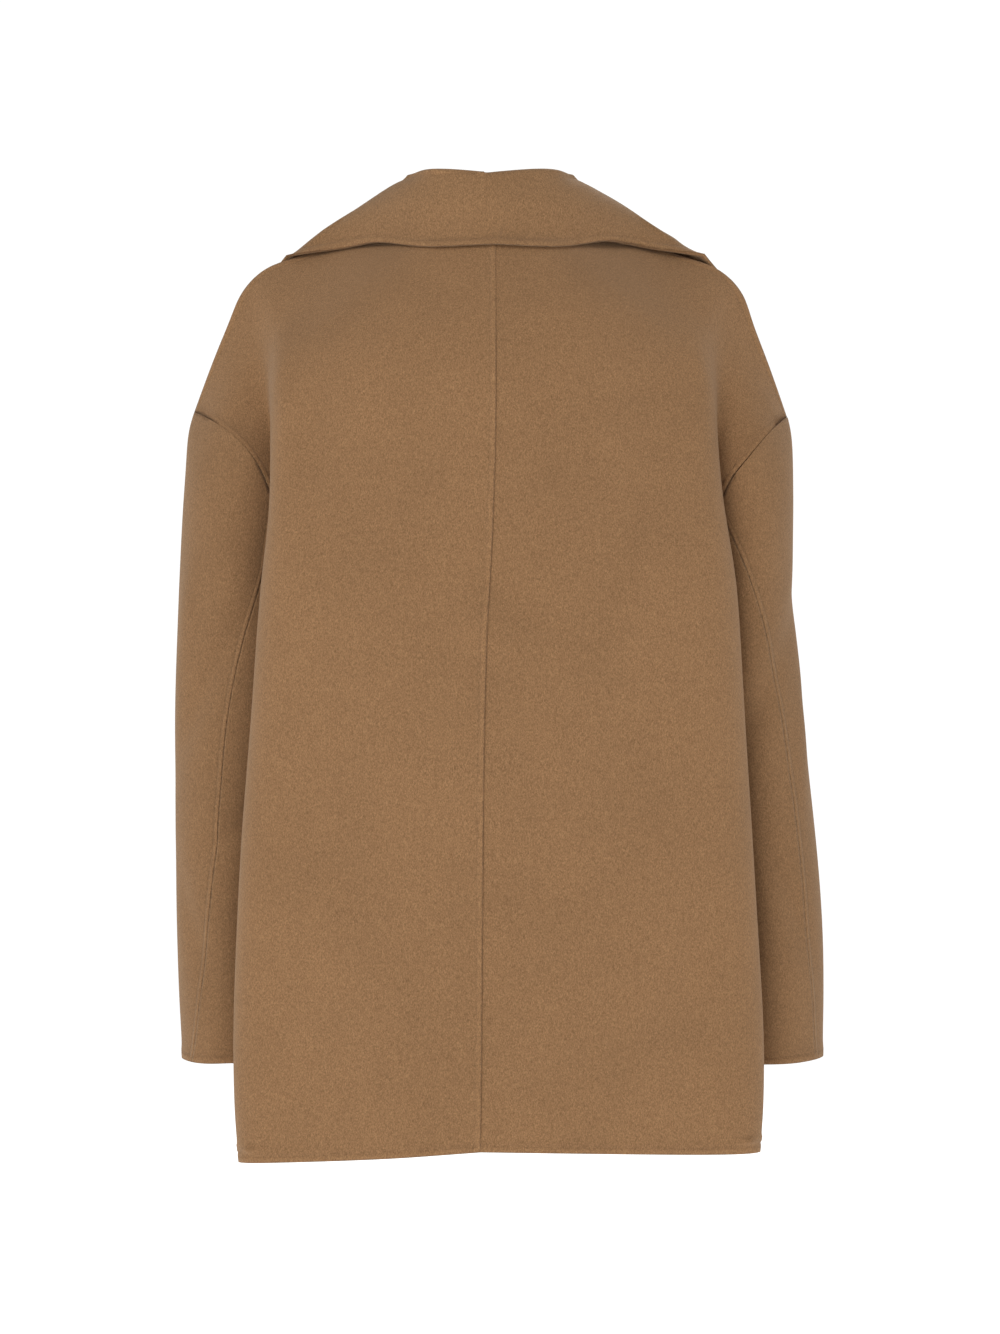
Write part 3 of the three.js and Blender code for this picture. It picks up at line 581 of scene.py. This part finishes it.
def woolMaterial(name, choices, nap, band):
    material = bpy.data.materials.new(name)
    material.use_nodes = True
    tree = material.node_tree
    shader = tree.nodes["Principled BSDF"]
    place = addNode(tree, "ShaderNodeTexCoord").outputs["Object"]
    napNode = addNode(tree, "ShaderNodeGroup", node_tree=nap)
    tree.links.new(place, napNode.inputs["Position"])
    bands = []
    for attribute, width in (("seamDistance", choices["seam"]), ("edgeDistance", choices["edge"])):
        distance = addNode(tree, "ShaderNodeAttribute", attribute_name=attribute).outputs["Fac"]
        bands.append(addNode(tree, "ShaderNodeGroup", {"Distance": distance, "Width": width,
                             "Wobble": napNode.outputs["Curl"]}, node_tree=band).outputs)
    ridge = mathNode(tree, "MAXIMUM", bands[0]["Height"], bands[1]["Height"])
    groove = mathNode(tree, "MAXIMUM", bands[0]["Groove Shade"], bands[1]["Groove Shade"])
    fibreTone = rangeNode(tree, napNode.outputs["Fibre"], 0.30, 0.70)
    tone = mixColor(tree, fibreTone, (*choices["deep"], 1), (*choices["light"], 1))
    curlTone = rangeNode(tree, napNode.outputs["Curl"], 0.3, 0.7, 0.80, 1.20, False)
    patchTone = rangeNode(tree, napNode.outputs["Patch"], 0.3, 0.7, 0.95, 1.05, False)
    # painted shade: the colour darkens in the seam groove and at the cut edge
    paintedGrooveShade = rangeNode(tree, groove, 0.0, 1.0, 1.0, choices["line"], False)
    # painted highlight: the colour lightens on the raised band beside a seam or edge
    raised = mathNode(tree, "MAXIMUM", bands[0]["Band"], bands[1]["Band"])
    paintedRidgeHighlight = rangeNode(tree, raised, 0.0, 1.0, 1.0, 1.07, False)
    strength = mathNode(tree, "MULTIPLY", mathNode(tree, "MULTIPLY", curlTone, patchTone), paintedGrooveShade)
    strength = mathNode(tree, "MULTIPLY", strength, paintedRidgeHighlight)
    grey = addNode(tree, "ShaderNodeCombineColor", {0: strength, 1: strength, 2: strength}).outputs[0]
    tree.links.new(mixColor(tree, 1.0, tone, grey, "MULTIPLY"), shader.inputs["Base Color"])
    napBump = addNode(tree, "ShaderNodeBump", {"Height": napNode.outputs["Height"], "Strength": 0.8,
                      "Distance": 0.0008})
    bandBump = addNode(tree, "ShaderNodeBump", {"Height": ridge, "Strength": 0.8,
                       "Distance": 0.0009, "Normal": napBump.outputs[0]})
    tree.links.new(bandBump.outputs[0], shader.inputs["Normal"])
    dullness = rangeNode(tree, napNode.outputs["Fibre"], 0.2, 0.8, 0.98, 0.88)
    tree.links.new(dullness, shader.inputs["Roughness"])
    shader.inputs["Specular IOR Level"].default_value = 0.15
    shader.inputs["Sheen Weight"].default_value = 0.22
    shader.inputs["Sheen Roughness"].default_value = 0.5
    shader.inputs["Sheen Tint"].default_value = (0.90, 0.74, 0.56, 1)
    return material


hornChoices = {"deep": (0.030, 0.017, 0.009), "light": (0.165, 0.088, 0.040)}


def hornMaterial():
    material = bpy.data.materials.new("buttonHorn")
    material.use_nodes = True
    tree = material.node_tree
    shader = tree.nodes["Principled BSDF"]
    place = addNode(tree, "ShaderNodeTexCoord").outputs["Object"]
    streak = addNode(tree, "ShaderNodeMapping", {"Vector": place, "Scale": (1.0, 1.0, 3.2),
                     "Rotation": (0.0, 0.6, 0.0)}).outputs[0]
    cloud = noiseNode(tree, streak, 70.0, 5.0, 0.62, 1.6)
    tone = mixColor(tree, rangeNode(tree, cloud, 0.36, 0.68), (*hornChoices["deep"], 1),
                    (*hornChoices["light"], 1))
    tree.links.new(tone, shader.inputs["Base Color"])
    scratch = noiseNode(tree, place, 900.0, 2.0)
    tree.links.new(rangeNode(tree, scratch, 0.3, 0.7, 0.34, 0.48), shader.inputs["Roughness"])
    bump = addNode(tree, "ShaderNodeBump", {"Height": cloud, "Strength": 0.12, "Distance": 0.0003})
    tree.links.new(bump.outputs[0], shader.inputs["Normal"])
    shader.inputs["Specular IOR Level"].default_value = 0.32
    return material


def threadMaterial():
    material = bpy.data.materials.new("sewingThread")
    material.use_nodes = True
    tree = material.node_tree
    shader = tree.nodes["Principled BSDF"]
    place = addNode(tree, "ShaderNodeTexCoord").outputs["Object"]
    twist = addNode(tree, "ShaderNodeTexWave", {"Vector": place, "Scale": 900.0, "Distortion": 2.0},
                    wave_type="BANDS", bands_direction="DIAGONAL").outputs["Fac"]
    tone = mixColor(tree, twist, (0.10, 0.058, 0.030, 1), (0.24, 0.15, 0.085, 1))
    tree.links.new(tone, shader.inputs["Base Color"])
    bump = addNode(tree, "ShaderNodeBump", {"Height": twist, "Strength": 0.5, "Distance": 0.0002})
    tree.links.new(bump.outputs[0], shader.inputs["Normal"])
    shader.inputs["Roughness"].default_value = 0.7
    return material


# Sheets as they were cut: width and length of each piece in metres. The area that goes with
# them is half the surface of the finished piece, so it is not a measure of its own

cutSizes = {
    "back_left": {"flat": (0.330, 0.790), "rests": ["back_right", "front_left"]},
    "back_right": {"flat": (0.340, 0.790), "rests": ["back_left", "front_right"]},
    "front_left": {"flat": (0.400, 0.790), "rests": ["back_left"]},
    "front_right": {"flat": (0.400, 0.790), "rests": ["front_left"]},
    "sleeve_left_top": {"flat": (0.230, 0.560), "rests": ["back_left", "front_left"]},
    "sleeve_left_under": {"flat": (0.185, 0.480), "rests": ["back_left", "front_left"]},
    "sleeve_right_top": {"flat": (0.230, 0.560), "rests": ["back_right", "front_right"]},
    "sleeve_right_under": {"flat": (0.185, 0.480), "rests": ["back_right", "front_right"]},
    "collar": {"flat": (0.560, 0.160), "rests": ["back_left", "back_right"]},
}
nap = napGroup()
band = bandGroup()
wools = {part: woolMaterial(part + "Wool", choices, nap, band) for part, choices in woolChoices.items()}
cutSurfaces = {nodeName: surfaceOf(nodes[nodeName]) for nodeName in cutSizes}
cloth = {}
for nodeName in cutSizes:
    piece = copyNode(nodeName, nodeName + "_cloth")
    if nodeName == "collar":
        dropPoint(piece)
    rims = creaseRims(piece)
    smoothSheet(piece)
    measureSeams(piece, nodeName, rims)
    piece.data.materials.clear()
    piece.data.materials.append(wools[nodeName.split("_")[0]])
    cloth[nodeName] = piece
closeSeams(cloth)
print("sheets smoothed and sewn together")

for nodeName, piece in cloth.items():
    part = nodeName.split("_")[0]
    if part in ("back", "front"):
        foldTorso(piece)
    elif part == "sleeve":
        foldSleeve(piece, 1 if "left" in nodeName else -1)
    else:
        liftCollar(piece)
    settle(piece, part)
    if part == "collar":
        restCollar(piece, [cloth["back_left"], cloth["back_right"]])
    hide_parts(nodeName)
    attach(piece, "root")


# Buttons: a turned horn disc with a raised rim, four holes, two bars of thread and a shank

buttonChoices = {"radius": 0.0136, "thickness": 0.0040, "rim": 0.0030, "dish": 0.0013, "holeRadius": 0.0011,
                 "holeSpread": 0.0030, "thread": 0.00048, "shank": 0.0026, "shankHeight": 0.0018,
                 "bevel": 0.00055, "dishTaper": 0.93, "spreadGrowth": 1.1, "rise": 0.0021,
                 "turnStep": math.radians(17), "bevelAngle": math.radians(40)}


def cylinderAt(radius, depth, place, sides=40):
    bpy.ops.mesh.primitive_cylinder_add(vertices=sides, radius=radius, depth=depth, location=place)
    made = bpy.context.object
    bpy.ops.object.transform_apply(location=True, rotation=True, scale=True)
    return made


def turnedDisc():
    pickNothing()
    size = buttonChoices
    disc = cylinderAt(size["radius"], size["thickness"], (0, 0, size["thickness"] / 2), 48)
    disc.name = "button_pattern"
    bpy.ops.object.mode_set(mode="EDIT")
    bpy.ops.mesh.select_all(action="DESELECT")
    bpy.ops.object.mode_set(mode="OBJECT")
    for face in disc.data.polygons:
        face.select = face.normal.z > 0.9
    bpy.ops.object.mode_set(mode="EDIT")
    bpy.ops.mesh.inset(thickness=size["rim"])
    bpy.ops.mesh.extrude_region_move(TRANSFORM_OT_translate={"value": (0, 0, -size["dish"])})
    bpy.ops.transform.resize(value=(size["dishTaper"], size["dishTaper"], 1.0))
    bpy.ops.object.mode_set(mode="OBJECT")
    spread = size["holeSpread"] / 2 * size["spreadGrowth"]
    for x in (-spread, spread):
        for y in (-spread, spread):
            pickNothing()
            drill = cylinderAt(size["holeRadius"], 0.02, (x, y, 0), 16)
            cut = disc.modifiers.new("hole", "BOOLEAN")
            cut.operation = "DIFFERENCE"
            cut.object = drill
            pickOnly(disc)
            bpy.ops.object.modifier_apply(modifier="hole")
            bpy.data.objects.remove(drill)
    soften = disc.modifiers.new("soften", "BEVEL")
    soften.width = size["bevel"]
    soften.segments = 3
    soften.limit_method = "ANGLE"
    soften.angle_limit = size["bevelAngle"]
    bpy.ops.object.modifier_apply(modifier="soften")
    bpy.ops.object.shade_smooth_by_angle(angle=size["bevelAngle"])
    return disc


def threadBars():
    # three strands on each side, through two holes, and the wound shank below
    size = buttonChoices
    spread = size["holeSpread"] / 2 * size["spreadGrowth"]
    top = size["thickness"] - size["dish"]
    parts = []
    for side in (-1, 1):
        for lane in (-1, 0, 1):
            pickNothing()
            place = (side * spread + lane * size["thread"] * 1.5, 0, top)
            bpy.ops.mesh.primitive_uv_sphere_add(segments=10, ring_count=8, radius=size["thread"],
                                                 location=place)
            strand = bpy.context.object
            bpy.ops.object.transform_apply(location=True, rotation=True, scale=True)
            stretch = readPoints(strand)
            stretch[:, 1] *= (spread + size["thread"]) / size["thread"]
            stretch[:, 2] += size["thread"] * 0.6 * (1 - (stretch[:, 1] / (spread + size["thread"])) ** 2)
            writePoints(strand, stretch)
            parts.append(strand)
    pickNothing()
    winding = cylinderAt(size["shank"], size["shankHeight"], (0, 0, -size["shankHeight"] / 2), 24)
    bpy.ops.object.mode_set(mode="EDIT")
    bpy.ops.mesh.select_all(action="SELECT")
    bpy.ops.mesh.bevel(offset=0.0004, segments=2)
    bpy.ops.object.mode_set(mode="OBJECT")
    parts.append(winding)
    pickOnly(winding)
    for part in parts:
        part.select_set(True)
    bpy.ops.object.join()
    winding.name = "thread_pattern"
    bpy.ops.object.shade_smooth_by_angle(angle=math.radians(60))
    return winding


def buttonFrame(node):
    # the button's own axis is the thinnest direction of its solid
    points = readPoints(node)
    middle = (points.max(axis=0) + points.min(axis=0)) / 2
    unique = np.unique(np.round(points, 6), axis=0)
    centre = unique.mean(axis=0)
    _, _, axes = np.linalg.svd(unique - centre)
    axis = axes[2] if axes[2][1] < 0 else -axes[2]
    heights = (points - middle) @ axis
    foot = middle + axis * heights.min()
    turn = Vector((0, 0, 1)).rotation_difference(Vector(axis)).to_matrix().to_4x4()
    return Matrix.Translation(Vector(foot)) @ turn


disc = turnedDisc()
thread = threadBars()
disc.data.materials.append(hornMaterial())
thread.data.materials.append(threadMaterial())
for number in range(1, 7):
    nodeName = f"button_{number}"
    place = buttonFrame(nodes[nodeName]) @ Matrix.Translation((0, 0, buttonChoices["rise"]))
    place = place @ Matrix.Rotation(buttonChoices["turnStep"] * number, 4, "Z")
    horn = bpy.data.objects.new(f"button_{number}_horn", disc.data.copy())
    stitches = bpy.data.objects.new(f"button_{number}_thread", thread.data.copy())
    for piece in (horn, stitches):
        bpy.context.scene.collection.objects.link(piece)
        piece.data.transform(place)
        piece.data.update()
        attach(piece, "root")
    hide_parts(nodeName)
bpy.data.objects.remove(disc)
bpy.data.objects.remove(thread)
print("buttons done")


# Floor, light and camera

studio = {"floorDrop": 0.42, "cameraDistance": 3.5, "frameHeight": 1.0672, "middle": (-0.008, -0.364),
          "air": 0.42}

pickNothing()
bpy.ops.mesh.primitive_plane_add(size=1, location=(0, 0, cadBox[0][2] - studio["floorDrop"]))
floor = bpy.context.object
floor.name = "studio_floor"
writePoints(floor, readPoints(floor) * [24, 24, 1])
paper = bpy.data.materials.new("palePaper")
paper.use_nodes = True
paperShader = paper.node_tree.nodes["Principled BSDF"]
paperShader.inputs["Base Color"].default_value = (0.93, 0.93, 0.93, 1)
paperShader.inputs["Roughness"].default_value = 0.9
paperShader.inputs["Emission Color"].default_value = (1, 1, 1, 1)
paperShader.inputs["Emission Strength"].default_value = 0.66
floor.data.materials.append(paper)

# a white surround that is brighter to look at than the light it gives
world = bpy.data.worlds.new("studio air")
bpy.context.scene.world = world
world.use_nodes = True
sky = world.node_tree
seen = addNode(sky, "ShaderNodeLightPath").outputs["Is Camera Ray"]
sky.nodes["Background"].inputs["Color"].default_value = (1.0, 1.0, 1.0, 1)
sky.links.new(rangeNode(sky, seen, 0.0, 1.0, studio["air"], 1.05, False),
              sky.nodes["Background"].inputs["Strength"])
bpy.context.scene.view_settings.view_transform = "Standard"


def softLight(name, place, size, power, aim=(0, 0, -0.35)):
    lamp = bpy.data.lights.new(name, "AREA")
    lamp.shape = "RECTANGLE"
    lamp.size, lamp.size_y = size
    lamp.energy = power
    holder = bpy.data.objects.new(name, lamp)
    bpy.context.scene.collection.objects.link(holder)
    holder.location = place
    holder.rotation_euler = (Vector(aim) - Vector(place)).to_track_quat("-Z", "Y").to_euler()


softLight("back key", (1.2, 3.5, 2.0), (1.8, 1.8), 70)
softLight("left rim", (2.8, 0.2, 0.4), (0.9, 2.4), 3)
softLight("right rim", (-2.8, 0.2, 0.4), (0.9, 2.4), 8)
softLight("front fill", (-1.2, -3.5, 2.0), (1.8, 1.8), 70)

lens = bpy.data.cameras.new("photo camera")
camera = bpy.data.objects.new("photo camera", lens)
bpy.context.scene.collection.objects.link(camera)
bpy.context.scene.camera = camera
lens.sensor_fit = "VERTICAL"
lens.sensor_height = 24
lens.lens = lens.sensor_height * studio["cameraDistance"] / studio["frameHeight"]
lens.clip_end = 30
camera.location = (studio["middle"][0], studio["cameraDistance"], studio["middle"][1])
camera.rotation_euler = (math.radians(90), 0, math.radians(180))
